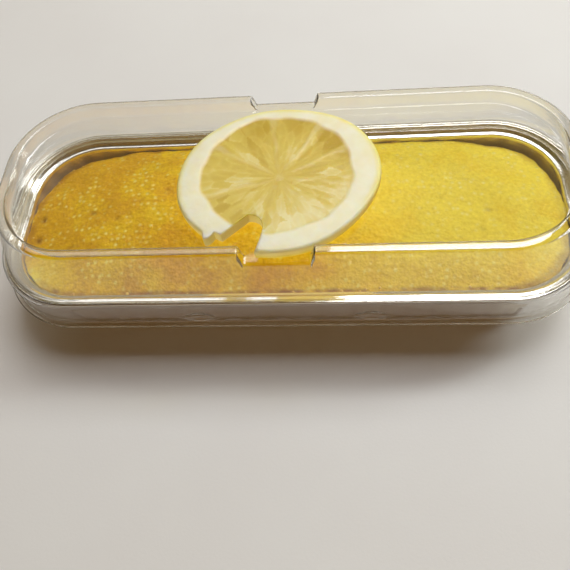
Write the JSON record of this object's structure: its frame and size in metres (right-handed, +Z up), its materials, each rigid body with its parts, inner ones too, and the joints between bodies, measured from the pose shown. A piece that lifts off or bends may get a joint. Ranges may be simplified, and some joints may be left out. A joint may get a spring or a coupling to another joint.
{
  "type": "lemon loaf cake in a lidded foil tin",
  "caption": "Long lemon loaf cake in a fluted foil tin with rounded ends, under a clear dome lid with a bitten lemon slice lying on top.",
  "frame": {"origin": "middle of the tin's flat floor, on the surface that it stands on", "axes": "+X along the loaf, +Y to its back, +Z up"},
  "size_m": [0.1948, 0.0768, 0.0495],
  "materials": {
    "foil": "bright pressed foil",
    "cake_crumb": "moist lemon sponge crumb",
    "clear_plastic": "clear thermoformed sheet",
    "lemon": "wet pulp, white pith and yellow rind"
  },
  "bodies": {
    "root": {"foil_tin": "foil", "loaf_cake": "cake_crumb", "clear_lid": "clear_plastic", "lemon_slice": "lemon"}
  },
  "joints": []
}
